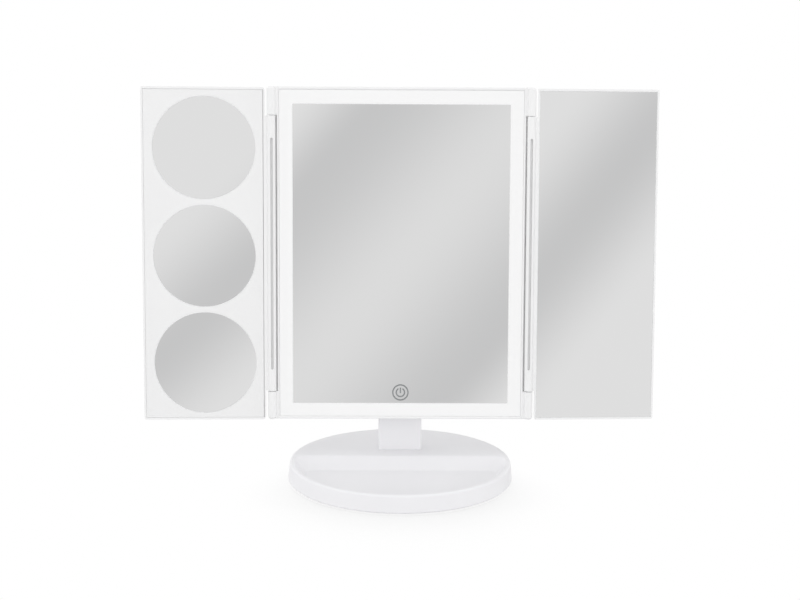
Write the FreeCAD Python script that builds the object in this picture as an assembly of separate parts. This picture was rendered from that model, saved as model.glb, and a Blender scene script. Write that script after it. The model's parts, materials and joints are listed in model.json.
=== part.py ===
import FreeCAD, Part
import math
import os

# Lit trifold vanity mirror on a round stand with a cosmetics tray.
# Millimetres. X runs to the viewer's right, Y away from the viewer, Z up.
# The origin is the centre of the round stand, on the table.
# The head is drawn upright: its front rim in the plane Y = 0, its lower edge at Z = 0.
# It is then leaned back and carried to the stand. Wings are drawn on the right side.

V = FreeCAD.Vector
X_AXIS = V(1, 0, 0)
Y_AXIS = V(0, 1, 0)
Z_AXIS = V(0, 0, 1)
ORIGIN = V(0, 0, 0)
SIDES = (-1, 1)

# ---- stand ----
BASE_R = 76.6            # outer radius at the lower edge
BASE_TOP_R = 75.5        # outer radius at the deck, before the edge is rounded
BASE_TOP_Z = 12.8        # height of the deck
BASE_LOW_Z = 0.9         # shadow gap under the shell
BASE_WALL = 2.2
BASE_EDGE = 1.8          # rounding of the deck's outer edge
BASE_FOOT_EDGE = 0.6     # chamfer of the lower edge
TRAY_RIM = 0.5           # chamfer round the tray's mouth
TRAY_R = 72.3            # tray outline at the deck
TRAY_CHORD_Y = 7.9       # straight rear edge of the tray at the deck
TRAY_FLOOR_R = 65.6      # the same two sizes at the floor
TRAY_FLOOR_CHORD_Y = -4.0
TRAY_CORNER = 11.0
TRAY_FLOOR_Z = 5.8
TRAY_FLOOR_FILLET = 2.4
COVER_Z = (1.4, 2.8)     # bottom cover
COVER_R = 73.8
FOOT_R = 6.5
FOOT_RING_R = 60.0
FOOT_ANGLES = (45, 135, 225, 315)
WEIGHT_R = 70.3
WEIGHT_Y = 12.5          # straight front edge of the D-shaped weight
WEIGHT_Z = (3.2, 9.4)
WEIGHT_ROOM = 0.8        # clearance between the weight and a post
COVER_SCREWS = [(-54.0, 24.0), (54.0, 24.0), (0.0, 62.0)]
POST_R = 3.5
THREAD_R = 1.3           # cover and rear screws
THREAD_DEPTH = 7.5
HOLE_R = 1.7             # clearance for a cover screw
COVER_SEAT = (3.2, 1.2)  # radius and depth of the cover's countersinks
COVER_SCREW = (3.0, 1.3, 6.6)        # head radius and height, shank length
NECK_SCREW = (3.0, 2.0, 1.5, 13.0)   # head radius and height, shank radius and length
RECESS = (0.55, 0.35, 0.8)  # a screw's cross: reach as a share of the head, half width, depth

# ---- neck and tilt hinge ----
NECK_W = 30.2
KNUCKLE_R = 6.3
NECK_EDGE = 1.1          # chamfer of the neck's upright and knuckle edges
NECK_SOCKET = 1.0        # how deep the neck's foot sits in the deck
NECK_SCREW_X = 8.5
TILT_Y = 21.5            # tilt axis in the upright head
TILT_Z = 8.0
BOLT_R = 2.5
BOLT_FIT = 0.05          # running clearance in the neck
WASHER_T = 0.8
LUG_X = (16.0, 23.5)
LUG_EDGE = 0.8
GUSSET_H = 19.0          # how far the lug's gusset reaches above the tilt axis
BOLT_HEAD = (4.2, 3.0)   # radius and length of the bolt's head
BOLT_HEX = (2.0, 1.8)    # radius and depth of its hexagon socket
BOLT_END = 1.2           # how far the bolt's tip stays inside the left lug
NUT = (4.6, 3.05)        # corner radius and length
HEAD_SEAT = (4.4, 4.4)   # radius and depth of the bolt head's seat in the lug
NUT_SEAT = (4.7, 4.4)    # the same for the nut
WASHER_R = 4.8
CAP_R = 5.2
CAP_T = 1.2
CAP_TAPER = 0.8

# ---- head ----
LEAN = 5.3               # resting lean of the head, degrees back from upright
FACE_Y = 6.0             # where the lower front edge of the head stands
HEAD_FOOT_Z = 39.7
HEAD_H = 225.8
HEAD_HALF = 84.05
FRAME_DEPTH = 9.5
FRAME_CORNER = 1.5
RIM_EDGE = 0.4           # outer chamfer of the front rim
RIM_INNER_EDGE = 0.5     # its inner chamfer
OPENING_HALF = 82.75     # clear opening inside the front rim
OPENING_Z = (1.7, 223.95)
LEDGE_HALF = 80.4
LEDGE_Z = (4.6, 221.2)
LEDGE_Y = (3.4, 4.9)
LAP = 0.2                # how far the ledge and the blocks run into the rim
CORNER_BLOCK = 8.6
CORNER_POST = 3.2        # half width of the rear cover's corner posts
POST_HALF = 2.2          # half width of its other posts
BACK_Y = 14.2            # rear face of the rear cover
COVER_INSET = 0.2        # step from the frame's sides to the rear cover's
COVER_WALL = 1.8
BACK_EDGE = 4.0
REAR_SCREW = (77.0, 8.0)   # distance from the centre line, and from each end
REAR_SEAT = (2.6, 1.3)     # radius and depth of each screw's countersink

# ---- lit mirror ----
GLASS_Y = 0.3
PANE_HALF = 73.7
PANE_Z = (10.8, 214.5)
PANE_T = 2.0
BORDER_T = 2.9
BORDER_GAP = 0.3         # from the front rim to the light border
BORDER_LIP = 2.4
FOAM_T = 1.0
FOAM_INSET = 2.8         # from the pane's edge to the foam's
PLATEAU_HALF = 68.5
PLATEAU_Z = (14.6, 209.5)
TRAY_WALL = 1.4
FLANGE_Y = (8.0, 9.4)
STRIP_W = 5.5
STRIP_T = 1.0
STRIP_X = 78.7           # centre line of the side strips
STRIP_LOW_Z = 7.4        # centre line of the lower strip, from the lower edge
LED_SIZE = (2.8, 0.7, 3.5)
SIDE_LEDS = 12
END_LEDS = 8
SIDE_STRIP_END = 12.6    # from the head's ends to the side strips'
END_STRIP_HALF = 72.0
TOUCH_Z = 18.3           # centre of the touch symbol
TOUCH_PAD_HALF = 4.4
SPRING_Z = (2.2, 3.0)    # the touch spring, above the touch point
SPRING_TIP = 0.8         # half width at the pad
SPRING_FOOT = (1.6, 0.7) # half width and thickness at the board
SYMBOL_R = (5.65, 3.3)    # outer radii of the symbol's two rings
SYMBOL_LINE = 0.9        # width of its lines
INK_T = 0.12

# ---- battery bay, battery door, board ----
BAY_HALF = 30.2
BAY_Z = (75.0, 131.8)
BAY_FLOOR_Y = (5.5, 6.9)
BAY_WALL = 1.5
HUMP_HALF = 37.0
HUMP_Z = (68.0, 139.0)
HUMP_Y = 24.4
HUMP_DRAFT = 2.2
HUMP_CORNER = 5.0
HUMP_EDGE = 1.6
HUMP_WALL = (4.0, 2.2)   # at the sides, and behind the battery door
CELL_R = 7.1
CELL_LENGTH = 49.2
CELL_PITCH = 14.8
CELL_Y = 14.4
CELL_NUB = (2.7, 1.2)    # radius and length
CELL_SHIFT = 0.6         # towards the flat end's contact, or away from it
CONTACT_HALF = 5.5
CONTACT_Y = (9.0, 20.0)
CONTACT_T = 0.4
SPRING_HALF = 2.5        # half width of a battery spring
DOOR_HALF = 31.0
DOOR_Y = 22.0
DOOR_GAP = 0.3
DOOR_Z0 = 72.2
TONGUE = (1.4, 1.0)      # width and thickness of the door's side tongues
BOARD = (-31.0, 31.0, 22.0, 62.0)
BOARD_Y = (6.0, 7.6)
BOARD_POST = 4.0         # from the board's edges to its posts
CHIP = (-9.0, 41.0, 6.0, 1.4)    # centre X and Z, side and height
COIL = (2.0, 44.0, 4.2, 3.6)     # centre X and Z, radius and height
LEAD_X = (-14.0, -10.0)
LEAD_R = 0.65
SOCKET_X = 24.0
SOCKET_Z = 36.0
SOCKET_W = 9.0
SOCKET_H = 3.3
SOCKET_WALL = 0.35
TONGUE_HALF = (3.1, 0.35)        # half width and half thickness of the contact tongue

# ---- wings ----
HINGE_X = 87.8
BARREL_R = 2.9
EAR_H = 19.1             # ears of the frame, at both ends of each hinge
EAR_GAP = 0.4
EAR_CHAMFER = 1.2
KNUCKLE_H = 14.9         # solid part of the wing's barrel beyond each ear
SLOT_W = 1.7             # groove down the front of the wing's barrel
SLOT_SHIFT = 0.3         # from the hinge axis towards the head
SLOT_FLOOR_Y = -1.0
ROOT = 0.5               # how far a web, a strip or a rib runs into the wall that carries it
EAR_WEB_Y = (0.25, 2.6)
EAR_BACK_Y = (2.5, 4.5)
EAR_BACK_X = 85.5
SHADE_X = 86.3           # strip of the frame behind the hinge gap
SHADE_Y = (3.5, 5.0)
SHADE_EDGE = 0.7
PIN_R = 1.2
PIN_FIT = 0.05
PIN_END = 5.0            # solid end of each ear, beyond its pin
PIN_PLAY = (0.2, 1.0)    # room at a pin's outer and inner ends
BORE_END = 0.8           # solid left between the barrel's bore and its groove
WING_OUT_X = 175.0
WING_IN_X = 88.6
WING_FRONT_Y = 0.6
WING_BACK_Y = 9.4
WING_EDGE = 2.4
WING_DROP = 0.55         # how much lower than the head the wings hang
EAR_ROOM_X = (91.9, 93.6)       # where the wing stops beside an ear, at its front and at its back
EAR_NOTCH = (1.0, 1.8)          # width and height of the notch at each end of that room
WING_PANEL_X = (93.2, 173.7)
WING_PANEL_Z = (0.9, 223.7)
WING_SEAM = (0.3, 0.1)          # gap round an insert: beside the hinge, and on its other sides
WING_GLASS_T = 2.0
WING_PAD_T = 0.8
WING_LEDGE = 2.4
WING_FLOOR_Y = 7.8
WING_REST = {-1: 2.0, 1: 3.0}   # degrees about the hinge: left a little forward, right a little back
WING_RIB = 0.8           # half thickness of the floor's ribs
ROUND_R = 34.5
ROUND_X = 133.15
ROUND_Z = (38.8, 111.7, 184.6)
ROUND_NAMES = ("lower", "middle", "upper")
ROUND_BOWL_R = (900.0, 700.0, 520.0)   # radius of each concave face, stronger towards the top


# ---------------------------------------------------------------- helpers

def box(x0, x1, y0, y1, z0, z1):
    """A block between two corners."""
    return Part.makeBox(x1 - x0, y1 - y0, z1 - z0, V(x0, y0, z0))


def rod(radius, start, axis, length):
    """A cylinder from a start point along an axis."""
    return Part.makeCylinder(radius, length, start, axis)


def straight_edges(solid, axis):
    """The straight edges of a solid that run along an axis."""
    lines = [e for e in solid.Edges if e.Curve.TypeId == "Part::GeomLine"]
    return [e for e in lines if abs(e.Curve.Direction.dot(axis)) > 0.999]


def edges_in_plane(solid, axis, value):
    """The edges of a solid that lie in the plane where the axis has a value."""
    found = []
    for edge in solid.Edges:
        heights = [edge.valueAt(t).dot(axis) for t in (edge.FirstParameter, edge.LastParameter)]
        middle = edge.valueAt((edge.FirstParameter + edge.LastParameter) / 2).dot(axis)
        if all(abs(h - value) < 1e-4 for h in heights + [middle]):
            found.append(edge)
    return found


def panel(x0, x1, y0, y1, z0, z1, corner):
    """An upright panel that faces the viewer, with rounded corners."""
    plain = box(x0, x1, y0, y1, z0, z1)
    return plain.makeFillet(corner, straight_edges(plain, Y_AXIS))


def mirrored(shape):
    """The same shape on the other side of the centre line."""
    return shape.mirror(ORIGIN, X_AXIS)


def on_side(shape, side):
    """A shape drawn on the right, on the side asked for."""
    return shape if side > 0 else mirrored(shape)


def group(solids):
    """Several equal solids that share one node."""
    return Part.makeCompound(solids)


def from_head(point):
    """Where a point of the upright head comes to rest."""
    lean = math.radians(LEAN)
    y = FACE_Y + point.y * math.cos(lean) + point.z * math.sin(lean)
    z = HEAD_FOOT_Z - point.y * math.sin(lean) + point.z * math.cos(lean)
    return V(point.x, y, z)


def place_head(shape):
    """Lean a shape of the upright head back and carry it to the stand."""
    return shape.rotated(ORIGIN, X_AXIS, -LEAN).translated(V(0, FACE_Y, HEAD_FOOT_Z))


def place_wing(shape, side):
    """Put a shape drawn on the right wing on its side, at its resting angle."""
    hinge = V(side * HINGE_X, 0, 0)
    return place_head(on_side(shape, side).rotated(hinge, Z_AXIS, WING_REST[side]))


# ---------------------------------------------------------------- stand

def tray_hollow(floor_z, top_z, grow=0.0):
    """The space of the tray between two heights, widened by grow: a cone with a sloping rear."""
    depth = BASE_TOP_Z - TRAY_FLOOR_Z
    radii = []
    chords = []
    for z in (floor_z, top_z):
        t = (z - TRAY_FLOOR_Z) / depth
        radii.append(TRAY_FLOOR_R + t * (TRAY_R - TRAY_FLOOR_R) + grow)
        chords.append(TRAY_FLOOR_CHORD_Y + t * (TRAY_CHORD_Y - TRAY_FLOOR_CHORD_Y) + grow)
    bowl = Part.makeCone(radii[0], radii[1], top_z - floor_z, V(0, 0, floor_z))
    side = [V(-BASE_R, -BASE_R, floor_z), V(-BASE_R, chords[0], floor_z),
            V(-BASE_R, chords[1], top_z), V(-BASE_R, -BASE_R, top_z), V(-BASE_R, -BASE_R, floor_z)]
    front = Part.Face(Part.makePolygon(side)).extrude(V(2 * BASE_R, 0, 0))
    return bowl.common(front)


def tray_cutter():
    """The tray as it is scooped out of the deck, with rounded corners and a rounded floor edge."""
    tray = tray_hollow(TRAY_FLOOR_Z, BASE_TOP_Z + 1)
    corners = [e for e in tray.Edges if e.BoundBox.ZLength > 1 and e.BoundBox.YMin > -BASE_R / 2]
    tray = tray.makeFillet(TRAY_CORNER, corners)
    return tray.makeFillet(TRAY_FLOOR_FILLET, edges_in_plane(tray, Z_AXIS, TRAY_FLOOR_Z))


def neck_footprint(clearance, z0, z1):
    """The neck's rectangular section as an upright block."""
    tilt_y = from_head(V(0, TILT_Y, TILT_Z)).y
    half = NECK_W / 2 + clearance
    depth = KNUCKLE_R + clearance
    block = box(-half, half, tilt_y - depth, tilt_y + depth, z0, z1)
    return block.makeChamfer(NECK_EDGE, straight_edges(block, Z_AXIS))


def neck_screw_places():
    """The two screws that hold the neck, seen from below."""
    tilt_y = from_head(V(0, TILT_Y, TILT_Z)).y
    return [(side * NECK_SCREW_X, tilt_y) for side in SIDES]


def base_shell():
    """Round stand: rounded deck, D-shaped tray in front, hollow underneath with screw posts."""
    height = BASE_TOP_Z - BASE_LOW_Z
    shell = Part.makeCone(BASE_R, BASE_TOP_R, height, V(0, 0, BASE_LOW_Z))
    shell = shell.makeFillet(BASE_EDGE, edges_in_plane(shell, Z_AXIS, BASE_TOP_Z))
    shell = shell.makeChamfer(BASE_FOOT_EDGE, edges_in_plane(shell, Z_AXIS, BASE_LOW_Z))
    deck_under = BASE_TOP_Z - BASE_WALL
    cavity = Part.makeCone(BASE_R - BASE_WALL, BASE_TOP_R - BASE_WALL - 0.3,
                           deck_under, V(0, 0, 0))
    tray_under = TRAY_FLOOR_Z - 2.0
    cavity = cavity.cut(tray_hollow(tray_under, BASE_TOP_Z + 1, BASE_WALL))
    shell = shell.cut(cavity).cut(tray_cutter())
    post_z = COVER_Z[1] + 0.05
    for x, y in COVER_SCREWS:
        post = rod(POST_R, V(x, y, post_z), Z_AXIS, deck_under + 0.5 - post_z)
        shell = shell.fuse(post).cut(rod(THREAD_R, V(x, y, post_z), Z_AXIS, THREAD_DEPTH))
    shell = shell.cut(neck_footprint(0.1, BASE_TOP_Z - NECK_SOCKET, BASE_TOP_Z + 1))
    for x, y in neck_screw_places():
        shell = shell.cut(rod(HOLE_R, V(x, y, 0), Z_AXIS, BASE_TOP_Z))
    rim = [e for e in edges_in_plane(shell, Z_AXIS, BASE_TOP_Z)
           if e.BoundBox.YMax < TRAY_CHORD_Y + 0.1 and e.BoundBox.YMin > -TRAY_R - 0.1]
    return shell.makeChamfer(TRAY_RIM, rim)


def base_cover():
    """Flat cover under the stand, with countersunk screw holes."""
    low, high = COVER_Z
    seat_r, seat_depth = COVER_SEAT
    cover = Part.makeCylinder(COVER_R, high - low, V(0, 0, low))
    for x, y in COVER_SCREWS:
        cover = cover.cut(Part.makeCone(seat_r, HOLE_R, seat_depth, V(x, y, low)))
        cover = cover.cut(rod(HOLE_R, V(x, y, low), Z_AXIS, high - low + 1))
    return cover


def foot_places():
    """Four feet on a ring, between the axes."""
    return [(FOOT_RING_R * math.cos(math.radians(a)), FOOT_RING_R * math.sin(math.radians(a)))
            for a in FOOT_ANGLES]


def base_feet():
    """Four rubber pads under the cover."""
    return group([rod(FOOT_R, V(x, y, 0), Z_AXIS, COVER_Z[0]) for x, y in foot_places()])


def base_weight():
    """D-shaped steel weight under the rear deck, with windows round the screws and their posts."""
    low, high = WEIGHT_Z
    weight = Part.makeCylinder(WEIGHT_R, high - low, V(0, 0, low))
    weight = weight.common(box(-BASE_R, BASE_R, WEIGHT_Y, BASE_R, low, high))
    room = POST_R + WEIGHT_ROOM
    for x, y in COVER_SCREWS + neck_screw_places():
        weight = weight.cut(box(x - room, x + room, y - room, y + room, low, high))
    return weight


def screw(x, y, z, head_r, head_h, shank_r, length, countersunk):
    """A screw that is driven upwards, with a cross recess in its head."""
    if countersunk:
        head = Part.makeCone(head_r, shank_r, head_h, V(x, y, z))
    else:
        head = Part.makeCylinder(head_r, head_h, V(x, y, z))
    body = head.fuse(rod(shank_r, V(x, y, z + head_h), Z_AXIS, length))
    reach, half, depth = RECESS
    arm = head_r * reach
    for half_x, half_y in ((arm, half), (half, arm)):
        body = body.cut(box(x - half_x, x + half_x, y - half_y, y + half_y, z - 0.1, z + depth))
    return body


def base_screws():
    """Three countersunk screws that hold the bottom cover."""
    head_r, head_h, length = COVER_SCREW
    return group([screw(x, y, COVER_Z[0] + 0.1, head_r, head_h, THREAD_R, length, True)
                  for x, y in COVER_SCREWS])


def neck_screws():
    """Two pan-head screws that clamp the neck to the deck from below."""
    head_r, head_h, shank_r, length = NECK_SCREW
    z = BASE_TOP_Z - BASE_WALL - head_h
    return group([screw(x, y, z, head_r, head_h, shank_r, length, False)
                  for x, y in neck_screw_places()])


def neck():
    """Neck: an upright block that ends in a round knuckle on the tilt axis."""
    tilt = from_head(V(0, TILT_Y, TILT_Z))
    foot_z = BASE_TOP_Z - NECK_SOCKET
    half = NECK_W / 2
    front = tilt.y - KNUCKLE_R
    rear = tilt.y + KNUCKLE_R
    side = [Part.LineSegment(V(-half, front, foot_z), V(-half, front, tilt.z)),
            Part.Arc(V(-half, front, tilt.z), V(-half, tilt.y, tilt.z + KNUCKLE_R),
                     V(-half, rear, tilt.z)),
            Part.LineSegment(V(-half, rear, tilt.z), V(-half, rear, foot_z)),
            Part.LineSegment(V(-half, rear, foot_z), V(-half, front, foot_z))]
    outline = Part.Face(Part.Wire([piece.toShape() for piece in side]))
    body = outline.extrude(V(NECK_W, 0, 0))
    ends = [e for end in (-half, half) for e in edges_in_plane(body, X_AXIS, end)
            if e.BoundBox.ZMax > foot_z + 1]
    body = body.makeChamfer(NECK_EDGE, ends)
    body = body.cut(rod(BOLT_R + BOLT_FIT, V(-half - 1, tilt.y, tilt.z), X_AXIS, NECK_W + 2))
    shank_r, length = NECK_SCREW[2:]
    for x, y in neck_screw_places():
        body = body.cut(rod(shank_r, V(x, y, foot_z - 1), Z_AXIS, length + 1))
    return body


# ---------------------------------------------------------------- head: frame and rear

def ear(z0, z1, chamfer_z):
    """A hinge ear on the right: a short barrel on a web, chamfered at its outer end."""
    barrel = rod(BARREL_R, V(HINGE_X, 0, z0), Z_AXIS, z1 - z0)
    barrel = barrel.makeChamfer(EAR_CHAMFER, edges_in_plane(barrel, Z_AXIS, chamfer_z))
    web = box(HEAD_HALF - ROOT, HINGE_X, *EAR_WEB_Y, z0, z1)
    back = box(HEAD_HALF - ROOT, EAR_BACK_X, *EAR_BACK_Y, z0, z1)
    return barrel.fuse([web, back])


def pin_bore(radius, z0, z1):
    """A bore on the right hinge axis."""
    return rod(radius, V(HINGE_X, 0, z0), Z_AXIS, z1 - z0)


def hinge_ears():
    """Four ears with blind pin bores, two on each side."""
    ears = []
    for side in SIDES:
        low = ear(0, EAR_H, 0).cut(pin_bore(PIN_R, PIN_END, EAR_H + 1))
        high = ear(HEAD_H - EAR_H, HEAD_H, HEAD_H).cut(
            pin_bore(PIN_R, HEAD_H - EAR_H - 1, HEAD_H - PIN_END))
        ears += [on_side(low, side), on_side(high, side)]
    return ears


def corner_places():
    """The four rear cover screws, near the corners of the head."""
    across, inset = REAR_SCREW
    return [(side * across, z) for side in SIDES for z in (inset, HEAD_H - inset)]


def centre_frame():
    """Frame of the centre mirror: thin front rim, ledge, screw blocks and the hinge ears."""
    frame = panel(-HEAD_HALF, HEAD_HALF, 0, FRAME_DEPTH, 0, HEAD_H, FRAME_CORNER)
    frame = frame.makeChamfer(RIM_EDGE, edges_in_plane(frame, Y_AXIS, 0))
    frame = frame.cut(box(-OPENING_HALF, OPENING_HALF, -1, FRAME_DEPTH + 1, *OPENING_Z))
    inner = [e for e in edges_in_plane(frame, Y_AXIS, 0)
             if OPENING_Z[0] - 0.1 < e.BoundBox.ZMin and e.BoundBox.ZMax < OPENING_Z[1] + 0.1
             and e.BoundBox.XMax < OPENING_HALF + 0.1 and e.BoundBox.XMin > -OPENING_HALF - 0.1]
    frame = frame.makeChamfer(RIM_INNER_EDGE, inner)
    reach = OPENING_HALF + LAP
    low, high = OPENING_Z[0] - LAP, OPENING_Z[1] + LAP
    ledge = box(-reach, reach, *LEDGE_Y, low, high)
    ledge = ledge.cut(box(-LEDGE_HALF, LEDGE_HALF, 0, 9, *LEDGE_Z))
    frame = frame.fuse(ledge)
    for side in SIDES:
        for z0 in (low, high - CORNER_BLOCK):
            block = box(reach - CORNER_BLOCK, reach, LEDGE_Y[0], FRAME_DEPTH - 0.1,
                        z0, z0 + CORNER_BLOCK)
            frame = frame.fuse(on_side(block, side))
    for x, z in corner_places():
        frame = frame.cut(rod(THREAD_R, V(x, LEDGE_Y[0] + 1, z), Y_AXIS, 9))
    shade = box(HEAD_HALF - ROOT, SHADE_X, *SHADE_Y, 0, HEAD_H)
    outer = [e for e in straight_edges(shade, Z_AXIS) if e.BoundBox.XMin > HEAD_HALF]
    shade = shade.makeFillet(SHADE_EDGE, outer)
    frame = frame.fuse([on_side(shade, side) for side in SIDES])
    return frame.fuse(hinge_ears()).removeSplitter()


def hump_blank():
    """The drafted hump over the battery bay, with rounded edges."""
    z0, z1 = HUMP_Z
    top = HUMP_HALF - HUMP_DRAFT
    hump = Part.makeWedge(-HUMP_HALF, BACK_Y - 2, z0, z0 + HUMP_DRAFT, -top,
                          HUMP_HALF, HUMP_Y, z1, z1 - HUMP_DRAFT, top)
    slanted = [e for e in hump.Edges if e.BoundBox.YLength > 5]
    hump = hump.makeFillet(HUMP_CORNER, slanted)
    return hump.makeFillet(HUMP_EDGE, edges_in_plane(hump, Y_AXIS, HUMP_Y))


def door_space(gap):
    """The room that the battery door slides in, open at the hump's upper end."""
    body = box(-DOOR_HALF - gap, DOOR_HALF + gap, DOOR_Y - gap, HUMP_Y + 5,
               DOOR_Z0 - gap, HUMP_Z[1] + 5)
    reach = DOOR_HALF + TONGUE[0] + gap
    tongues = box(-reach, reach, DOOR_Y - gap, DOOR_Y + TONGUE[1] + gap,
                  DOOR_Z0 - gap, HUMP_Z[1] + 5)
    return body.fuse(tongues)


def tilt_lug():
    """A lug on the right of the neck: a round boss on the tilt axis with a gusset above it."""
    x0, x1 = LUG_X
    root_y = BACK_Y - 1.0
    boss = rod(KNUCKLE_R, V(x0, TILT_Y, TILT_Z), X_AXIS, x1 - x0)
    block = box(x0, x1, root_y, TILT_Y, TILT_Z - KNUCKLE_R, TILT_Z + KNUCKLE_R)
    corners = [V(x0, root_y, TILT_Z), V(x0, root_y, TILT_Z + GUSSET_H),
               V(x0, TILT_Y, TILT_Z + KNUCKLE_R), V(x0, TILT_Y, TILT_Z), V(x0, root_y, TILT_Z)]
    gusset = Part.Face(Part.makePolygon(corners)).extrude(V(x1 - x0, 0, 0))
    lug = boss.fuse([block, gusset]).removeSplitter()
    outer = [e for e in edges_in_plane(lug, X_AXIS, x1) if e.BoundBox.YMin > root_y + 0.1]
    return lug.makeChamfer(LUG_EDGE, outer)


def bolt_pockets():
    """Bore through both lugs, with a round seat for the bolt head and a hexagon one for the nut."""
    x1 = LUG_X[1]
    head_r, head_depth = HEAD_SEAT
    nut_r, nut_depth = NUT_SEAT
    bore = rod(BOLT_R + 0.02, V(-x1 - 1, TILT_Y, TILT_Z), X_AXIS, 2 * x1 + 2)
    head = rod(head_r, V(x1 - head_depth, TILT_Y, TILT_Z), X_AXIS, head_depth + 1)
    nut = hexagon(nut_r, -x1 - 1, -x1 + nut_depth)
    return bore.fuse([head, nut])


def hexagon(radius, x0, x1):
    """A hexagonal prism on the tilt axis."""
    corners = [V(x0, TILT_Y + radius * math.cos(math.radians(a)),
                 TILT_Z + radius * math.sin(math.radians(a))) for a in range(0, 361, 60)]
    return Part.Face(Part.makePolygon(corners)).extrude(V(x1 - x0, 0, 0))


def rear_cover():
    """Rear cover: rounded shell, hump with the battery bay, tilt lugs, posts and socket opening."""
    inset = COVER_INSET
    outer = panel(-HEAD_HALF + inset, HEAD_HALF - inset, FRAME_DEPTH + 0.1, BACK_Y,
                  inset, HEAD_H - inset, FRAME_CORNER)
    outer = outer.makeFillet(BACK_EDGE, edges_in_plane(outer, Y_AXIS, BACK_Y))
    edge = inset + COVER_WALL
    inner = box(-HEAD_HALF + edge, HEAD_HALF - edge, FRAME_DEPTH - 1, BACK_Y - COVER_WALL,
                edge, HEAD_H - edge)
    inner = inner.makeChamfer(BACK_EDGE / 2, edges_in_plane(inner, Y_AXIS, BACK_Y - COVER_WALL))
    cover = outer.cut(inner)
    wall = BAY_WALL
    bay_box = box(-BAY_HALF - wall, BAY_HALF + wall, BAY_FLOOR_Y[0], BACK_Y,
                  BAY_Z[0] - wall, BAY_Z[1] + wall)
    hump = hump_blank()
    side_wall, rear_wall = HUMP_WALL
    hump_inside = box(-HUMP_HALF + side_wall, HUMP_HALF - side_wall, 0, DOOR_Y - rear_wall,
                      HUMP_Z[0] + side_wall, HUMP_Z[1] - side_wall)
    cover = cover.fuse(hump).cut(hump_inside)
    bay_walls = box(-BAY_HALF - wall, BAY_HALF + wall, BAY_FLOOR_Y[0], DOOR_Y,
                    BAY_Z[0] - wall, BAY_Z[1] + wall)
    cover = cover.fuse([bay_box, bay_walls])
    cover = cover.cut(box(-BAY_HALF, BAY_HALF, BAY_FLOOR_Y[1], HUMP_Y + 1, *BAY_Z))
    cover = cover.cut(door_space(DOOR_GAP))
    lugs = [on_side(tilt_lug(), side) for side in SIDES]
    cover = cover.fuse(lugs).cut(bolt_pockets())
    seat_r, seat_depth = REAR_SEAT
    for x, z in corner_places():
        cover = cover.fuse(square_post(x, z, CORNER_POST, FRAME_DEPTH + 0.1))
        cover = cover.cut(rod(HOLE_R, V(x, 0, z), Y_AXIS, BACK_Y + 1))
        cover = cover.cut(Part.makeCone(HOLE_R, seat_r, seat_depth, V(x, BACK_Y - seat_depth, z), Y_AXIS))
    for x, z in board_posts():
        cover = cover.fuse(square_post(x, z, POST_HALF, BOARD_Y[1] + 0.05))
    for x, z in flange_posts():
        cover = cover.fuse(square_post(x, z, POST_HALF, FLANGE_Y[1] + 0.05))
    return cover.cut(socket_blank(0.3, BACK_Y - 3, BACK_Y + 1)).removeSplitter()


def square_post(x, z, half, front_y):
    """A square post that stands on the inside of the rear cover."""
    return box(x - half, x + half, front_y, BACK_Y - 1, z - half, z + half)


def board_posts():
    """Posts that carry the control board."""
    x0, x1, z0, z1 = BOARD
    inset = BOARD_POST
    return [(x, z) for x in (x0 + inset, x1 - inset) for z in (z0 + inset, z1 - inset)]


def flange_posts():
    """Posts that press on the reflector's flange, half way up each side."""
    return [(side * 75.0, z) for side in SIDES for z in (60.0, 165.0)]


def rear_screws():
    """Four countersunk screws, driven from the rear into the frame's corner blocks."""
    seat_r, seat_depth = REAR_SEAT
    blank = screw(0, 0, 0, seat_r - 0.1, seat_depth, THREAD_R, 6.0, True)
    turned = blank.rotated(ORIGIN, X_AXIS, 90)
    return group([turned.translated(V(x, BACK_Y - 0.1, z)) for x, z in corner_places()])


# ---------------------------------------------------------------- head: lit mirror

def centre_mirror():
    """Silvered glass pane."""
    return box(-PANE_HALF, PANE_HALF, GLASS_Y, GLASS_Y + PANE_T, *PANE_Z)


def light_border():
    """Opal light border round the pane, stepped at the rear to carry the pane's edge."""
    half = OPENING_HALF - BORDER_GAP
    border = box(-half, half, GLASS_Y, GLASS_Y + BORDER_T,
                 OPENING_Z[0] + BORDER_GAP, OPENING_Z[1] - BORDER_GAP)
    window = PANE_HALF + 0.1
    lip = BORDER_LIP
    border = border.cut(box(-window, window, -1, GLASS_Y + PANE_T + 0.05,
                            PANE_Z[0] - 0.1, PANE_Z[1] + 0.1))
    return border.cut(box(-PANE_HALF + lip, PANE_HALF - lip, -1, 9,
                          PANE_Z[0] + lip, PANE_Z[1] - lip))


def touch_symbol():
    """Power symbol in a ring: a full ring, an open ring and a bar, printed on the pane."""
    y0 = GLASS_Y - INK_T
    outer_r, inner_r = SYMBOL_R
    half_bar = SYMBOL_LINE / 2
    half_gap = SYMBOL_LINE * 3 / 2
    gap = box(-half_gap, half_gap, y0 - 1, y0 + 1, TOUCH_Z, TOUCH_Z + outer_r)
    bar = box(-half_bar, half_bar, y0, GLASS_Y, TOUCH_Z - half_bar, TOUCH_Z + inner_r)
    return group([ring(outer_r, y0), ring(inner_r, y0).cut(gap), bar])


def ring(radius, y0):
    """A printed ring on the pane, round the touch point."""
    centre = V(0, y0, TOUCH_Z)
    return rod(radius, centre, Y_AXIS, INK_T).cut(rod(radius - SYMBOL_LINE, centre, Y_AXIS, INK_T))


def touch_pad():
    """Square conductive pad behind the pane."""
    y0 = GLASS_Y + PANE_T + 0.02
    half = TOUCH_PAD_HALF
    return box(-half, half, y0, y0 + FOAM_T, TOUCH_Z - half, TOUCH_Z + half)


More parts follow.
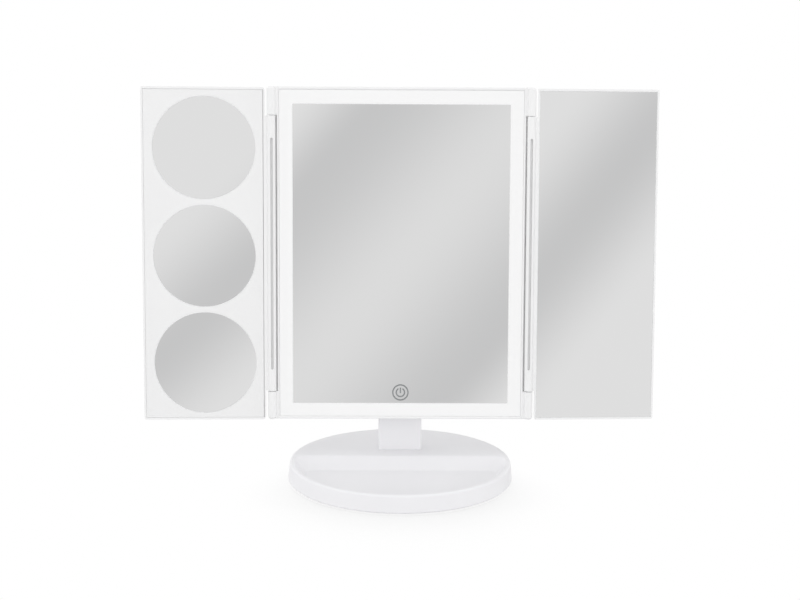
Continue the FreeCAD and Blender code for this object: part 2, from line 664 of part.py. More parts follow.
def touch_spring():
    """Bent spring contact from the control board to the touch pad."""
    pad_y = GLASS_Y + PANE_T + 0.02 + FOAM_T
    foot_half, foot_t = SPRING_FOOT
    low, high = (TOUCH_Z + rise for rise in SPRING_Z)
    tip = box(-SPRING_TIP, SPRING_TIP, pad_y, BOARD_Y[0], low, high)
    foot = box(-foot_half, foot_half, BOARD_Y[0] - foot_t, BOARD_Y[0], low, BOARD[2] + 2 * foot_half)
    return tip.fuse(foot).removeSplitter()


def mirror_foam():
    """Foam sheet that backs the pane, notched round the touch pad."""
    y0 = GLASS_Y + PANE_T + 0.05
    half = PANE_HALF - FOAM_INSET
    sheet = box(-half, half, y0, y0 + FOAM_T, PANE_Z[0] + FOAM_INSET, PANE_Z[1] - FOAM_INSET)
    room = TOUCH_PAD_HALF + 0.8
    return sheet.cut(box(-room, room, y0 - 1, y0 + 3, TOUCH_Z - room, TOUCH_Z + room))


def reflector():
    """White carrier: a raised field behind the pane and a sunk flange that holds the LED strips."""
    front = GLASS_Y + PANE_T + 0.1 + FOAM_T
    gap = 0.25
    flange = box(-OPENING_HALF + gap, OPENING_HALF - gap, *FLANGE_Y,
                 OPENING_Z[0] + gap, OPENING_Z[1] - gap)
    field = box(-PLATEAU_HALF, PLATEAU_HALF, front, FLANGE_Y[1], *PLATEAU_Z)
    carrier = flange.fuse(field)
    hollow = PLATEAU_HALF - TRAY_WALL
    carrier = carrier.cut(box(-hollow, hollow, front + TRAY_WALL, 12,
                              PLATEAU_Z[0] + TRAY_WALL, PLATEAU_Z[1] - TRAY_WALL))
    room = 0.6
    low, high = (TOUCH_Z + rise for rise in SPRING_Z)
    carrier = carrier.cut(box(-SPRING_TIP - room, SPRING_TIP + room, 0, FLANGE_Y[1], low - room, high + room))
    clear = CORNER_BLOCK + 0.3
    for side in SIDES:
        for z0 in (0, HEAD_H - OPENING_Z[0] - clear):
            notch = box(OPENING_HALF - clear, 90, 0, 12, z0, z0 + clear + OPENING_Z[0])
            carrier = carrier.cut(on_side(notch, side))
    return carrier


def strip_spans():
    """Each LED strip: name, its X span, its Z span and the number of its LEDs."""
    half = STRIP_W / 2
    side_z = (SIDE_STRIP_END, HEAD_H - SIDE_STRIP_END)
    end_x = (-END_STRIP_HALF, END_STRIP_HALF)
    low, high = STRIP_LOW_Z, HEAD_H - STRIP_LOW_Z
    return [("led_strip_left", (-STRIP_X - half, -STRIP_X + half), side_z, SIDE_LEDS),
            ("led_strip_right", (STRIP_X - half, STRIP_X + half), side_z, SIDE_LEDS),
            ("led_strip_bottom", end_x, (low - half, low + half), END_LEDS),
            ("led_strip_top", end_x, (high - half, high + half), END_LEDS)]


def led_strip(xs, zs):
    """A bare strip board on the reflector's flange."""
    return box(xs[0], xs[1], FLANGE_Y[0] - STRIP_T, FLANGE_Y[0], zs[0], zs[1])


def led_chips():
    """All the LEDs, evenly spaced along their strips."""
    chips = []
    wide, thick, tall = LED_SIZE
    y1 = FLANGE_Y[0] - STRIP_T
    for _, xs, zs, count in strip_spans():
        across = xs[1] - xs[0] > zs[1] - zs[0]
        for i in range(count):
            t = (i + 0.5) / count
            x = xs[0] + t * (xs[1] - xs[0]) if across else (xs[0] + xs[1]) / 2
            z = (zs[0] + zs[1]) / 2 if across else zs[0] + t * (zs[1] - zs[0])
            dx, dz = (tall / 2, wide / 2) if across else (wide / 2, tall / 2)
            chips.append(box(x - dx, x + dx, y1 - thick, y1, z - dz, z + dz))
    return group(chips)


# ---------------------------------------------------------------- head: power

def cell_places():
    """Centre lines of the four cells and which end is up."""
    return [((i - 1.5) * CELL_PITCH, i % 2 == 0) for i in range(4)]


def aa_cells():
    """Four AA cells side by side, turned end for end."""
    cells = []
    middle = (BAY_Z[0] + BAY_Z[1]) / 2
    nub_r, nub_length = CELL_NUB
    for x, nub_up in cell_places():
        can = rod(CELL_R, V(0, 0, -CELL_LENGTH / 2), Z_AXIS, CELL_LENGTH)
        cell = can.fuse(rod(nub_r, V(0, 0, CELL_LENGTH / 2), Z_AXIS, nub_length))
        if not nub_up:
            cell = cell.rotated(ORIGIN, X_AXIS, 180)
        shift = -CELL_SHIFT if nub_up else CELL_SHIFT
        cells.append(cell.translated(V(x, CELL_Y, middle + shift)))
    return group(cells)


def battery_contacts():
    """Flat contact plates at both ends of the bay."""
    plates = []
    for x, _ in cell_places():
        for z0 in (BAY_Z[0] + 0.02, BAY_Z[1] - 0.02 - CONTACT_T):
            plates.append(box(x - CONTACT_HALF, x + CONTACT_HALF, *CONTACT_Y, z0, z0 + CONTACT_T))
    return group(plates)


def battery_springs():
    """A bent leaf spring for the flat end of each cell."""
    springs = []
    middle = (BAY_Z[0] + BAY_Z[1]) / 2
    for x, nub_up in cell_places():
        reach = CELL_SHIFT + CELL_LENGTH / 2
        flat_end = middle - reach if nub_up else middle + reach
        plate = BAY_Z[0] + 0.02 + CONTACT_T if nub_up else BAY_Z[1] - 0.02 - CONTACT_T
        way = -1 if flat_end > plate else 1
        bends = [(10.5, plate), (13.4, flat_end + 0.02 * way), (15.4, flat_end + 0.02 * way),
                 (18.3, plate), (17.9, plate), (15.2, flat_end + 0.34 * way),
                 (13.6, flat_end + 0.34 * way), (10.9, plate), (10.5, plate)]
        outline = Part.Face(Part.makePolygon([V(x - SPRING_HALF, y, z) for y, z in bends]))
        springs.append(outline.extrude(V(2 * SPRING_HALF, 0, 0)))
    return group(springs)


def battery_door():
    """Sliding door of the battery bay: the rear skin of the hump, with side tongues and thumb ribs."""
    skin = box(-DOOR_HALF, DOOR_HALF, DOOR_Y, HUMP_Y + 5, DOOR_Z0, HUMP_Z[1] + 5)
    door = hump_blank().common(skin)
    reach = DOOR_HALF + TONGUE[0]
    door = door.fuse(box(-reach, reach, DOOR_Y, DOOR_Y + TONGUE[1], DOOR_Z0, BAY_Z[1]))
    for i in range(5):
        z = BAY_Z[1] - 14 + 2.4 * i
        door = door.cut(box(-9, 9, HUMP_Y - 0.5, HUMP_Y + 1, z, z + 1.1))
    return door.removeSplitter()


def control_board():
    """Control board on its posts."""
    x0, x1, z0, z1 = BOARD
    return box(x0, x1, *BOARD_Y, z0, z1)


def driver_chip():
    """LED driver on the rear of the board."""
    x, z, side, height = CHIP
    half = side / 2
    return box(x - half, x + half, BOARD_Y[1], BOARD_Y[1] + height, z - half, z + half)


def power_coil():
    """Round power coil on the rear of the board."""
    x, z, radius, height = COIL
    return rod(radius, V(x, BOARD_Y[1], z), Y_AXIS, height)


def battery_leads():
    """Two leads from the board to the foot of the battery bay."""
    y = BOARD_Y[1] + 0.05 + LEAD_R
    start = BOARD[3] - BOARD_POST
    return group([rod(LEAD_R, V(x, y, start), Z_AXIS, BAY_Z[0] - BAY_WALL - start) for x in LEAD_X])


def socket_blank(grow, y0, y1):
    """The flat oval section of the charging socket, as a bar along Y."""
    half = SOCKET_W / 2 + grow
    tall = SOCKET_H / 2 + grow
    bar = box(SOCKET_X - half, SOCKET_X + half, y0, y1, SOCKET_Z - tall, SOCKET_Z + tall)
    return bar.makeFillet(tall - 0.05, straight_edges(bar, Y_AXIS))


def power_socket():
    """Steel shell of the power socket, open to the rear."""
    shell = socket_blank(0, BOARD_Y[1], BACK_Y - 0.3)
    return shell.cut(socket_blank(-SOCKET_WALL, BOARD_Y[1] + 1.2, BACK_Y + 1))


def socket_tongue():
    """Contact tongue inside the power socket."""
    half, thin = TONGUE_HALF
    return box(SOCKET_X - half, SOCKET_X + half, BOARD_Y[1] + 1.2, BACK_Y - 1.3,
               SOCKET_Z - thin, SOCKET_Z + thin)


# ---------------------------------------------------------------- head: tilt hinge hardware

def tilt_bolt():
    """Bolt on the tilt axis, with a socket head in the right lug."""
    head_r, head_length = BOLT_HEAD
    hex_r, hex_depth = BOLT_HEX
    tip_x = -LUG_X[1] + BOLT_END
    head_x = LUG_X[1] - HEAD_SEAT[1]
    shank = rod(BOLT_R, V(tip_x, TILT_Y, TILT_Z), X_AXIS, head_x - tip_x)
    head = rod(head_r, V(head_x, TILT_Y, TILT_Z), X_AXIS, head_length)
    bolt = shank.fuse(head)
    return bolt.cut(hexagon(hex_r, head_x + head_length - hex_depth, head_x + head_length + 1))


def tilt_nut():
    """Nut in the left lug."""
    radius, length = NUT
    inner_x = -LUG_X[1] + NUT_SEAT[1] - 0.05
    nut = hexagon(radius, inner_x - length, inner_x)
    return nut.cut(rod(BOLT_R, V(-LUG_X[1], TILT_Y, TILT_Z), X_AXIS, NUT_SEAT[1] + 1))


def friction_washers():
    """A friction washer on each side of the neck."""
    washers = []
    gap = (LUG_X[0] - NECK_W / 2 - WASHER_T) / 2
    for side in SIDES:
        x0 = side * (NECK_W / 2 + gap) if side > 0 else -(NECK_W / 2 + gap) - WASHER_T
        disc = rod(WASHER_R, V(x0, TILT_Y, TILT_Z), X_AXIS, WASHER_T)
        washers.append(disc.cut(rod(BOLT_R + 0.02, V(x0, TILT_Y, TILT_Z), X_AXIS, WASHER_T)))
    return group(washers)


def hinge_caps():
    """A tapered cap over each end of the bolt."""
    start = V(LUG_X[1] + 0.02, TILT_Y, TILT_Z)
    cap = Part.makeCone(CAP_R, CAP_R - CAP_TAPER, CAP_T, start, X_AXIS)
    return group([on_side(cap, side) for side in SIDES])


def hinge_pins():
    """Two steel pins for the right wing, one at each end of its hinge."""
    start = PIN_END + PIN_PLAY[0]
    length = EAR_H + EAR_GAP + KNUCKLE_H - PIN_PLAY[1] - start
    low = rod(PIN_R, V(HINGE_X, 0, start), Z_AXIS, length)
    high = rod(PIN_R, V(HINGE_X, 0, HEAD_H - start - length), Z_AXIS, length)
    return group([low, high])


# ---------------------------------------------------------------- wings

def barrel_slot():
    """The long round-ended groove down the front of the wing's barrel."""
    z0 = EAR_H + EAR_GAP + KNUCKLE_H
    z1 = HEAD_H - z0
    half = SLOT_W / 2
    x = HINGE_X - SLOT_SHIFT
    slot = box(x - half, x + half, -BARREL_R - 1, SLOT_FLOOR_Y, z0, z1)
    return slot.makeFillet(half - 0.02, straight_edges(slot, Y_AXIS))


def ear_room(z0, z1):
    """The room for an ear beside the wing: open from front to back, wider at the back."""
    front, back = EAR_ROOM_X
    start = WING_IN_X - 1
    corners = [V(start, WING_FRONT_Y - 1, z0), V(front, WING_FRONT_Y - 1, z0), V(front, WING_FRONT_Y, z0),
               V(back, WING_BACK_Y, z0), V(back, WING_BACK_Y + 1, z0), V(start, WING_BACK_Y + 1, z0),
               V(start, WING_FRONT_Y - 1, z0)]
    return Part.Face(Part.makePolygon(corners)).extrude(V(0, 0, z1 - z0))


def ear_notch(end, way):
    """The slanted notch in the wing's corner, at one end of the wing."""
    width, height = EAR_NOTCH
    x = EAR_ROOM_X[0]
    corners = [V(x - 1, -1, end - way), V(x - 1, -1, end + 2 * way * height),
               V(x + 2 * width, -1, end - way), V(x - 1, -1, end - way)]
    return Part.Face(Part.makePolygon(corners)).extrude(V(0, WING_BACK_Y + 2, 0))


def wing_frame():
    """Wing housing: shallow tray with a thin rim, ribbed floor and a grooved hinge barrel."""
    low, high = -WING_DROP, HEAD_H - WING_DROP
    frame = box(WING_IN_X, WING_OUT_X, WING_FRONT_Y, WING_BACK_Y, low, high)
    outer = [e for e in straight_edges(frame, Y_AXIS) if e.BoundBox.XMin > WING_IN_X + 1]
    frame = frame.makeFillet(FRAME_CORNER, outer)
    frame = frame.makeFillet(WING_EDGE, edges_in_plane(frame, Y_AXIS, WING_BACK_Y))
    barrel_z = EAR_H + EAR_GAP
    frame = frame.cut([ear_room(-1, barrel_z), ear_room(HEAD_H - barrel_z, HEAD_H + 1)])
    frame = frame.fuse(rod(BARREL_R, V(HINGE_X, 0, barrel_z), Z_AXIS, HEAD_H - 2 * barrel_z))
    x0, x1 = WING_PANEL_X
    z0, z1 = WING_PANEL_Z
    seat_y = WING_FRONT_Y + 0.2 + WING_GLASS_T + WING_PAD_T
    frame = frame.cut(box(x0, x1, -1, seat_y, z0, z1))
    ledge = WING_LEDGE
    frame = frame.cut(box(x0 + ledge, x1 - ledge, -1, WING_FLOOR_Y, z0 + ledge, z1 - ledge))
    ribs = [box(x0 + ledge - ROOT, x1 - ledge + ROOT, seat_y + 0.1, WING_FLOOR_Y + ROOT,
                z - WING_RIB, z + WING_RIB)
            for z in (HEAD_H / 4, HEAD_H / 2, HEAD_H * 3 / 4)]
    frame = frame.fuse(ribs).cut([barrel_slot(), ear_notch(low, 1), ear_notch(high, -1)])
    bore_end = barrel_z + KNUCKLE_H - BORE_END
    frame = frame.cut(pin_bore(PIN_R + PIN_FIT, 0, bore_end))
    frame = frame.cut(pin_bore(PIN_R + PIN_FIT, HEAD_H - bore_end, HEAD_H))
    return frame.removeSplitter()


def wing_insert(thickness):
    """The flat insert that fills the wing's rim."""
    seam, gap = WING_SEAM
    y0 = WING_FRONT_Y + 0.2
    return box(WING_PANEL_X[0] + seam, WING_PANEL_X[1] - gap, y0, y0 + thickness,
               WING_PANEL_Z[0] + gap, WING_PANEL_Z[1] - gap)


def wing_pad():
    """Adhesive foam sheet behind an insert, a little smaller all round."""
    y0 = WING_FRONT_Y + 0.2 + WING_GLASS_T + 0.02
    return box(WING_PANEL_X[0] + 0.6, WING_PANEL_X[1] - 0.6, y0, y0 + WING_PAD_T - 0.04,
               WING_PANEL_Z[0] + 0.6, WING_PANEL_Z[1] - 0.6)


def round_panel():
    """Face panel of the left wing, with three round seats."""
    face = wing_insert(WING_GLASS_T)
    y0 = WING_FRONT_Y + 0.2
    for z in ROUND_Z:
        face = face.cut(rod(ROUND_R + 0.1, V(ROUND_X, y0 - 1, z), Y_AXIS, 1 + WING_GLASS_T - 0.4))
    return face


def round_mirror(z, bowl_r):
    """A round magnifying mirror with a shallow concave face and an eased edge."""
    y0 = WING_FRONT_Y + 0.25
    y1 = WING_FRONT_Y + 0.2 + WING_GLASS_T - 0.42
    disc = rod(ROUND_R, V(ROUND_X, y0, z), Y_AXIS, y1 - y0)
    reach = ROUND_R - 0.8
    centre_y = y0 - math.sqrt(bowl_r ** 2 - reach ** 2)
    return disc.cut(Part.makeSphere(bowl_r, V(ROUND_X, centre_y, z)))


# ---------------------------------------------------------------- assembly

def stand_nodes():
    """Pieces that stand still on the table."""
    return {"base_shell": base_shell(), "base_cover": base_cover(), "base_feet": base_feet(),
            "base_weight": base_weight(), "base_screws": base_screws(),
            "neck": neck(), "neck_screws": neck_screws()}


def head_nodes():
    """Pieces that tilt with the head."""
    nodes = {"centre_frame": centre_frame(), "rear_cover": rear_cover(),
             "rear_screws": rear_screws(), "centre_mirror": centre_mirror(),
             "light_border": light_border(), "touch_symbol": touch_symbol(),
             "touch_pad": touch_pad(), "touch_spring": touch_spring(),
             "mirror_foam": mirror_foam(), "reflector": reflector(), "led_chips": led_chips(),
             "aa_cells": aa_cells(), "battery_contacts": battery_contacts(),
             "battery_springs": battery_springs(), "battery_leads": battery_leads(),
             "battery_door": battery_door(), "control_board": control_board(),
             "driver_chip": driver_chip(), "power_coil": power_coil(),
             "power_socket": power_socket(), "socket_tongue": socket_tongue(),
             "tilt_bolt": tilt_bolt(), "tilt_nut": tilt_nut(),
             "friction_washers": friction_washers(), "hinge_caps": hinge_caps(),
             "left_hinge_pins": mirrored(hinge_pins()), "right_hinge_pins": hinge_pins()}
    for name, xs, zs, _ in strip_spans():
        nodes[name] = led_strip(xs, zs)
    return nodes


def wing_nodes():
    """Pieces of both wings, with the side that each is on."""
    housing = wing_frame()
    pad = wing_pad()
    nodes = {"left_wing_frame": (housing, -1), "right_wing_frame": (housing, 1),
             "left_wing_pad": (pad, -1), "right_wing_pad": (pad, 1),
             "left_wing_panel": (round_panel(), -1),
             "right_mirror": (wing_insert(WING_GLASS_T), 1)}
    for name, z, bowl_r in zip(ROUND_NAMES, ROUND_Z, ROUND_BOWL_R):
        nodes["round_mirror_" + name] = (round_mirror(z, bowl_r), -1)
    return nodes


def write(name, shape):
    """Write one node and report its size."""
    if not shape.isValid():
        print("INVALID", name)
    shape.exportStep("parts/" + name + ".step")
    size = shape.BoundBox
    print(f"{name:20s} solids {len(shape.Solids):3d}  volume {shape.Volume:10.1f}  "
          f"{size.XLength:6.1f} x {size.YLength:6.1f} x {size.ZLength:6.1f}")


os.makedirs("parts", exist_ok=True)
for node, solid in stand_nodes().items():
    write(node, solid)
for node, solid in head_nodes().items():
    write(node, place_head(solid))
for node, (solid, wing_side) in wing_nodes().items():
    write(node, place_wing(solid, wing_side))
for label, head_point in (("tilt axis", V(0, TILT_Y, TILT_Z)), ("left hinge", V(-HINGE_X, 0, 0)),
                          ("right hinge", V(HINGE_X, 0, 0))):
    print(label, from_head(head_point))
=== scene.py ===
import json
import math

import bmesh
import bpy
from bpy.props import FloatProperty, FloatVectorProperty, PointerProperty
from mathutils import Matrix, Vector


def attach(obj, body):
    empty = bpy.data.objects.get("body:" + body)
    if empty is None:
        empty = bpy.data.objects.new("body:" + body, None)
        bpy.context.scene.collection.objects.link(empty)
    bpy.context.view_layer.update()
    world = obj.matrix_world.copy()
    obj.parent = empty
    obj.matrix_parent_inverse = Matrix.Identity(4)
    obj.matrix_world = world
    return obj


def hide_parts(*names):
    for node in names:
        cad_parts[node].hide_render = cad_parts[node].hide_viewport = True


bl_info = {
    "name": "Lit trifold vanity mirror",
    "version": (1, 0, 0),
    "blender": (4, 5, 0),
    "location": "View3D > Sidebar > Vanity mirror",
    "description": "Finishes a lit trifold vanity mirror on a tray stand and sets up its studio",
    "category": "Object",
}

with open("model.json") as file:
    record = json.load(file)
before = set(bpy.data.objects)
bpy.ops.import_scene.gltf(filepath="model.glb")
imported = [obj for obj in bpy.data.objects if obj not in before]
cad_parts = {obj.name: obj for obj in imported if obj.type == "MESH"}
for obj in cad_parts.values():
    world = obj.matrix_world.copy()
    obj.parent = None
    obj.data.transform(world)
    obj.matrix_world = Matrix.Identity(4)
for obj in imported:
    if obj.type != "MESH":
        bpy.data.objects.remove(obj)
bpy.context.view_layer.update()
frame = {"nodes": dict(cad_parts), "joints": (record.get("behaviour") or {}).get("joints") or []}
NODES = frame["nodes"]
JOINTS = {joint["name"]: joint for joint in frame["joints"]}
MM = 0.001
WHITE = (1.0, 1.0, 1.0, 1.0)

# The head's own directions: across, up along the leaning panels, and back out of their faces.
ACROSS = Vector((1, 0, 0))
UP = Vector(JOINTS["left_wing_fold"]["axis"])
BACK = UP.cross(ACROSS)

# The foot of the right wing's hinge, and the point halfway between the feet of the two hinges.
HINGE_FOOT = Vector(JOINTS["right_wing_fold"]["pos_m"])
HEAD_FOOT = Vector((0, *HINGE_FOOT[1:]))

# Distances from a hinge's axis where the painted shade in its barrel's groove is darkest and where
# it fades out to the plain plastic.
GROOVE_SHADE_FULL, GROOVE_SHADE_END = 1.5 * MM, 2.7 * MM

# Ends between which smooth noise nearly always lies, for a number and for a colour.
NUMBER_NOISE = (0.35, 0.65)
COLOUR_NOISE = (0.3, 0.7)

# How the noise of brushed metal is squeezed, so that its streaks run along an axis.
STREAKS = {"X": (0.08, 1, 1), "Z": (1, 1, 0.08)}

# Material slots of a mirror, and of a cell.
SILVER, GROUND, PAINT = range(3)
CAN, JACKET, CAP = range(3)

# An edge that turns less than this shades smoothly.
SMOOTH_TURN = math.radians(40)

# How far a face points along a direction, at most 1, to count as facing it: exactly or roughly.
SQUARE_ON, ROUGHLY_ON = 0.999, 0.9

# Steps round a mirror and round a cell, rings in a mirror's hollowed face, and cells.
MIRROR_TURN, CELL_TURN = 160, 48
BOWL_RINGS = 12
CELLS = 4

# The camera: its place, its right, up and back directions, lens and sensor in mm, and its reach.
CAMERA_PLACE = Vector((-0.01167376, -0.85774465, 0.28366636))
CAMERA_AXES = ((0.99991551, -0.01169833, 0.00566777),
               (-0.00343021, 0.18310244, 0.98308786),
               (-0.01253827, -0.98302423, 0.18304684))
LENS, SENSOR = 58.5, 36.0
NEAREST, FURTHEST = 0.01, 50.0

# Lamps: place, width and the setting that holds the power. Each is aimed at the same point.
LAMP_AIM = Vector((0, 0, 0.12))
LAMPS = {
    "low_lamp": ((0, -1.5, 0.15), 0.8, "low"),
    "high_lamp": ((-0.1, -1.6, 1.3), 1.3, "high"),
    "top_lamp": ((0, -0.3, 2.0), 1.5, "top"),
    "left_lamp": ((-1.8, -0.15, 0.3), 0.9, "side"),
    "right_lamp": ((1.8, -0.15, 0.3), 0.9, "side"),
    "rear_lamp": ((-1.4, 1.2, 0.4), 0.7, "rear"),
}

# The floor: half its width and the number of its squares along a side; how bright it shows where
# it is open; the power that shapes its contact shadow; and how closed in it has to be for light to
# start to leak under the stand and to leak in full.
FLOOR_REACH, FLOOR_SQUARES = 6.0, 8
FLOOR_LEVEL = 1.02
CONTACT_POWER = 0.5
LEAK_START, LEAK_FULL = 0.55, 0.85


# ---------------------------------------------------------------- settings

def colour(name, description, default):
    """A colour setting."""
    return FloatVectorProperty(name=name, description=description, subtype="COLOR", size=3,
                               min=0, max=1, default=default)


def length(name, description, default):
    """A length setting, in metres."""
    return FloatProperty(name=name, description=description, subtype="DISTANCE", unit="LENGTH",
                         min=0, default=default)


def angle(name, description, degrees):
    """An angle setting."""
    return FloatProperty(name=name, description=description, subtype="ANGLE", unit="ROTATION",
                         default=math.radians(degrees))


def amount(name, description, default, top=1.0):
    """A plain number setting."""
    return FloatProperty(name=name, description=description, min=0, max=top, default=default)


class StudioSettings(bpy.types.PropertyGroup):
    """Light and floor."""
    sky: amount("Sky light", "Strength of the even light from all round", 0.73, 5)
    low: amount("Low lamp", "Power of the soft lamp at the stand's height", 5.0, 500)
    high: amount("High lamp", "Power of the large soft lamp above the viewer", 3.0, 500)
    top: amount("Top lamp", "Power of the large soft lamp overhead", 5.2, 500)
    side: amount("Side lamps", "Power of each of the two soft lamps at the sides", 5.0, 500)
    rear: amount("Rear lamp", "Power of the soft lamp that shapes the back", 3.5, 500)
    floor: colour("Floor", "Colour that the floor throws back on the object",
                  (0.76, 0.76, 0.76))
    shadow: amount("Floor shadow", "How strongly the floor shows the lamps' shadows", 0.3)
    contact: amount("Contact shadow",
                    "How much darker the floor gets right beside the stand", 0.16)
    contact_limit: amount("Contact limit",
                          "How closed in the floor can look, under the stand too", 0.35)
    contact_leak: amount("Contact leak",
                         "How much light the floor keeps under the stand's edge", 0.2)
    contact_reach: length("Contact reach", "How far the contact shadow spreads", 0.09)
    shadow_shift: length("Shadow shift",
                         "How far in front of the stand the shadow is centred", 0.05)
    shadow_in: length("Shadow start",
                      "Distance from its centre where the shadow starts to fade", 0.045)
    shadow_out: length("Shadow end",
                       "Distance from its centre where the floor is plain white", 0.115)


class HousingSettings(bpy.types.PropertyGroup):
    """White mouldings of the head and wings."""
    shell: colour("Shell", "Colour of the frames, the rear cover and the battery door",
                  (0.885, 0.885, 0.887))
    face: colour("Wing panel", "Colour of the panel round the three round mirrors",
                 (0.865, 0.865, 0.867))
    gloss: amount("Roughness", "Surface roughness of the mouldings", 0.34)
    grain: length("Grain", "Size of the moulding's fine grain", 0.0012)
    # The groove setting scales the plastic's colour down deep in a wing's barrel groove: painted
    # shade, not a different plastic.
    groove: amount("Groove",
                   "How light the plastic stays deep in the groove of a wing's barrel", 0.86)


class StandSettings(bpy.types.PropertyGroup):
    """Stand and neck."""
    deck: colour("Stand", "Colour of the stand", (0.87, 0.867, 0.885))
    # The neck's colour is the stand's colour made a little lighter: painted light that offsets the
    # shade the head casts on the neck.
    neck: colour("Neck", "Colour of the neck", (0.885, 0.882, 0.898))
    gloss: amount("Roughness", "Surface roughness of the stand", 0.42)
    polish: amount("Polish", "How strongly the stand's shell reflects", 0.25)


class MirrorSettings(bpy.types.PropertyGroup):
    """Silvered faces and the reflection bands painted into their colour."""
    # The sheen colours and the bands set below are painted reflection: the silver's colour changes
    # across soft slanting bands.
    bright: colour("Bright sheen", "Silver outside the soft dark bands", (0.733, 0.733, 0.733))
    middle: colour("Middle sheen", "Silver of the centre mirror between its bands",
                   (0.707, 0.707, 0.707))
    dark: colour("Dark sheen", "Silver in the middle of a band", (0.558, 0.558, 0.561))
    centre_slant: angle("Centre slant", "Slant of the two bands on the centre mirror", 49.3)
    centre_offset: length("Centre offset",
                          "Distance of the lower band from the head's foot", 0.013)
    centre_spacing: length("Centre spacing", "Distance between the two bands", 0.166)
    centre_reach: length("Centre reach",
                         "Distance from a band's middle to the plain silver", 0.0425)
    left_slant: angle("Left slant", "Slant of the band on the left wing", 42.8)
    left_offset: length("Left offset",
                        "Distance of the left wing's band from the head's foot", 0.1443)
    right_slant: angle("Right slant", "Slant of the band on the right wing", 51.9)
    right_offset: length("Right offset",
                         "Distance of the right wing's band from the head's foot", 0.0126)
    wing_reach: length("Wing reach", "Distance from a wing's band to the plain silver", 0.061)
    bevel: length("Ground edge", "Width of the ground edge of each pane", 0.00025)
    snug: length("Snug fit",
                 "How far a wing's mirror reaches past its CAD node on each side", 0.00008)
    snug_hinge: length("Snug fit at the hinge", "The same, on the side beside the hinge", 0.00028)
    bowl_upper: length("Upper bowl", "Radius of the upper round mirror's concave face", 0.52)
    bowl_middle: length("Middle bowl", "Radius of the middle round mirror's concave face", 0.70)
    bowl_lower: length("Lower bowl", "Radius of the lower round mirror's concave face", 0.90)


class BorderSettings(bpy.types.PropertyGroup):
    """Opal light border."""
    opal: colour("Opal", "Colour of the opal border", (0.5, 0.5, 0.501))
    glow: amount("Glow", "How much the border glows", 0.425, 10)


class MarkSettings(bpy.types.PropertyGroup):
    """Touch symbol."""
    ink: colour("Ink", "Colour of the printed touch symbol", (0.235, 0.245, 0.25))


class InsideSettings(bpy.types.PropertyGroup):
    """Parts behind the covers."""
    jacket: colour("Cell jacket", "Colour of the long part of the cells' jackets",
                   (0.03, 0.035, 0.04))
    cap: colour("Cell cap", "Colour of the jacket round the cell's raised end",
                (0.55, 0.33, 0.16))
    lacquer: colour("Lacquer", "Colour of the circuit board's lacquer", (0.01, 0.14, 0.05))
    phosphor: colour("Phosphor", "Colour of the LEDs' faces", (0.85, 0.72, 0.22))


# ---------------------------------------------------------------- shader helpers

def new_material(name):
    """An empty node material: itself, its tree and its main shader."""
    material = bpy.data.materials.new(name)
    material.use_nodes = True
    tree = material.node_tree
    return material, tree, tree.nodes["Principled BSDF"]


def add(tree, kind, inputs=None, **settings):
    """A new node with its settings made and its inputs filled or linked."""
    node = tree.nodes.new("ShaderNode" + kind)
    for key, value in settings.items():
        setattr(node, key, value)
    for key, value in (inputs or {}).items():
        if isinstance(value, bpy.types.NodeSocket):
            tree.links.new(value, node.inputs[key])
        else:
            node.inputs[key].default_value = value
    return node


def number(tree, operation, *values):
    """The result of a Math node on numbers or sockets."""
    return add(tree, "Math", dict(enumerate(values)), operation=operation).outputs["Value"]


def vector(tree, operation, *values, result="Vector"):
    """The result of a Vector Math node on directions or sockets."""
    node = add(tree, "VectorMath", dict(enumerate(values)), operation=operation)
    return node.outputs[result]


def ranged(tree, value, lows, highs, **settings):
    """A number carried from one range, its low and high end, to another."""
    inputs = {"Value": value, "From Min": lows[0], "From Max": lows[1],
              "To Min": highs[0], "To Max": highs[1]}
    return add(tree, "MapRange", inputs, **settings).outputs["Result"]


def set_inputs(shader, **values):
    """Give a shader's own inputs plain values; an underscore stands for a space."""
    for key, value in values.items():
        shader.inputs[key.replace("_", " ")].default_value = value


def rgba(rgb, scale=1.0):
    """A colour with its alpha, made lighter or darker."""
    return (*(min(channel * scale, 1.0) for channel in rgb), 1.0)


def place(tree):
    """Where a point lies on the part, the same at every pose."""
    return add(tree, "TexCoord").outputs["Object"]


def noise(tree, size, detail=2.0, stretch=None):
    """Smooth noise whose patches are about this size in metres, longer along an axis if asked."""
    where = place(tree)
    if stretch:
        where = add(tree, "Mapping", {"Vector": where, "Scale": stretch}).outputs["Vector"]
    inputs = {"Vector": where, "Scale": 1.0 / size, "Detail": detail}
    return add(tree, "TexNoise", inputs).outputs["Fac"]


def tint(tree, shader, value, rgb, low, high):
    """Give a shader a colour that noise takes a little darker and lighter."""
    ramp = add(tree, "ValToRGB", {"Fac": value})
    ends = ramp.color_ramp.elements
    ends[0].position, ends[1].position = COLOUR_NOISE
    ends[0].color, ends[1].color = rgba(rgb, low), rgba(rgb, high)
    tree.links.new(ramp.outputs["Color"], shader.inputs["Base Color"])


def roughen(tree, shader, value, low, high):
    """Give a shader a roughness that noise takes between two values."""
    rough = ranged(tree, value, NUMBER_NOISE, (low, high))
    tree.links.new(rough, shader.inputs["Roughness"])


def bump(tree, shader, height, depth, strength=1.0):
    """Give a shader fine relief, depth in metres."""
    made = add(tree, "Bump", {"Height": height, "Distance": depth, "Strength": strength})
    tree.links.new(made.outputs["Normal"], shader.inputs["Normal"])


# ---------------------------------------------------------------- mesh helpers

def axes_of(node):
    """The across, back and up directions of a flat node, from its rear face."""
    faces = [face for face in NODES[node].data.polygons if face.normal.dot(BACK) > ROUGHLY_ON]
    back = sum((face.normal * face.area for face in faces), Vector()).normalized()
    return back.cross(UP), back, UP


